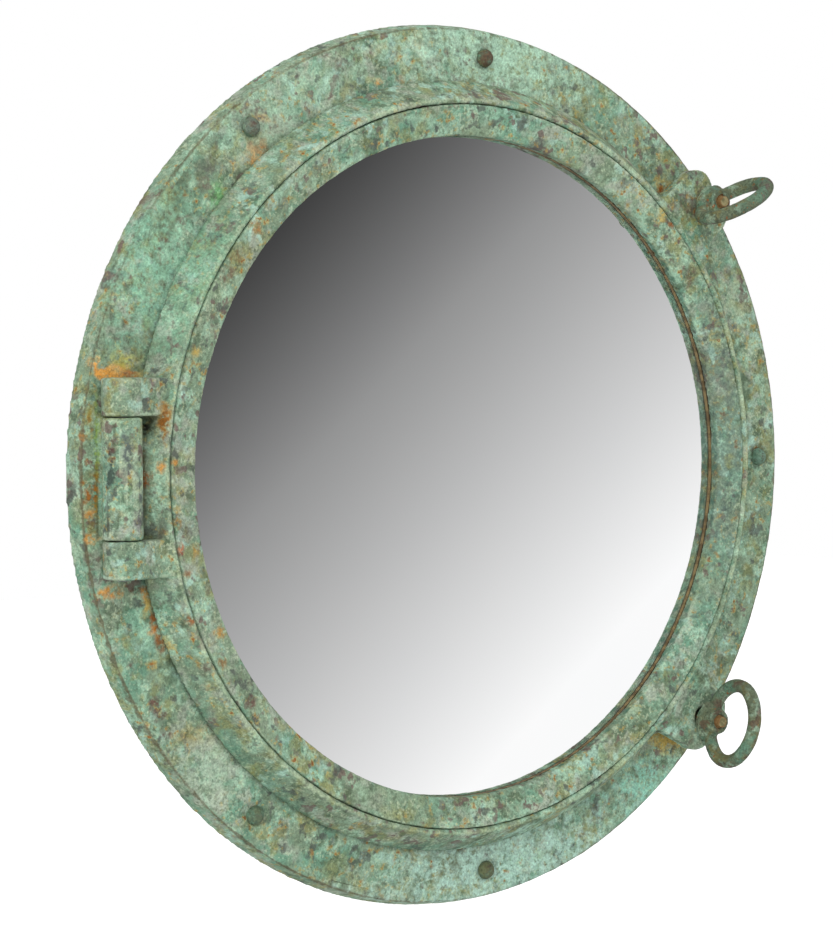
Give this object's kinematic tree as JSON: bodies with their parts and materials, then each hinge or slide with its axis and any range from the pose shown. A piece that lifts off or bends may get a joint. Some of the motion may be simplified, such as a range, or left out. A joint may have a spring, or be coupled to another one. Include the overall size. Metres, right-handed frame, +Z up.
{
  "type": "porthole mirror",
  "caption": "Round wall mirror in a porthole frame: a flanged ring, a hinged ring with the glass, and ring-headed dog screws that hold it shut.",
  "frame": {"origin": "centre of the ring on the wall plane that the back of the rim rests on", "axes": "+X to the right seen from the front, +Y into the wall, +Z up"},
  "size_m": [0.6129, 0.0916, 0.613],
  "materials": {
    "frame_patina": "matte",
    "door_patina": "matte",
    "ring_patina": "matte",
    "dog_patina": "matte",
    "screw_patina": "matte",
    "bush_brass": "satin",
    "stud_rust": "matte",
    "steel": "satin",
    "mirror": "polished",
    "gasket": "matte",
    "seal": "matte",
    "board": "matte"
  },
  "bodies": {
    "frame": {"frame_casting": "frame_patina", "hanging_ring": "steel", "flange_screws": "screw_patina", "flange_nuts": "steel", "hinge_pin": "steel", "door_seal": "seal", "upper_dog_bush": "bush_brass", "lower_dog_bush": "bush_brass"},
    "door": {"door_ring": "door_patina", "retaining_ring": "ring_patina", "retaining_screws": "steel", "mirror_glass": "mirror", "glass_gasket": "gasket", "backing_board": "board", "board_clips": "steel", "clip_screws": "steel"},
    "upper_dog_washer": {"upper_washer": "dog_patina"},
    "upper_dog": {"upper_ring_handle": "dog_patina", "upper_dog_screw": "stud_rust", "upper_retaining_clip": "steel"},
    "lower_dog_washer": {"lower_washer": "dog_patina"},
    "lower_dog": {"lower_ring_handle": "dog_patina", "lower_dog_screw": "stud_rust", "lower_retaining_clip": "steel"}
  },
  "joints": [
    {"name": "door_hinge", "type": "hinge", "parent": "frame", "child": "door", "pos_m": [-0.2815, -0.029, 0], "axis": [0, 0, -1], "range_deg": [0, 110]},
    {"name": "upper_dog_travel", "type": "slide", "parent": "door", "child": "upper_dog_washer", "axis": [0, 1, 0], "range_m": [0, 0.00225]},
    {"name": "upper_dog_turn", "type": "hinge", "parent": "upper_dog_washer", "child": "upper_dog", "pos_m": [0.21444, -0.069, 0.18773], "axis": [0, 1, 0], "range_deg": [0, 540]},
    {"name": "lower_dog_travel", "type": "slide", "parent": "door", "child": "lower_dog_washer", "axis": [0, 1, 0], "range_m": [0, 0.00225]},
    {"name": "lower_dog_turn", "type": "hinge", "parent": "lower_dog_washer", "child": "lower_dog", "pos_m": [0.21146, -0.069, -0.19107], "axis": [0, 1, 0], "range_deg": [0, 540]}
  ],
  "couplings": [
    {"joint": "upper_dog_travel", "follows": "upper_dog_turn", "m_per_rad": 0.0002387},
    {"joint": "lower_dog_travel", "follows": "lower_dog_turn", "m_per_rad": 0.0002387}
  ]
}
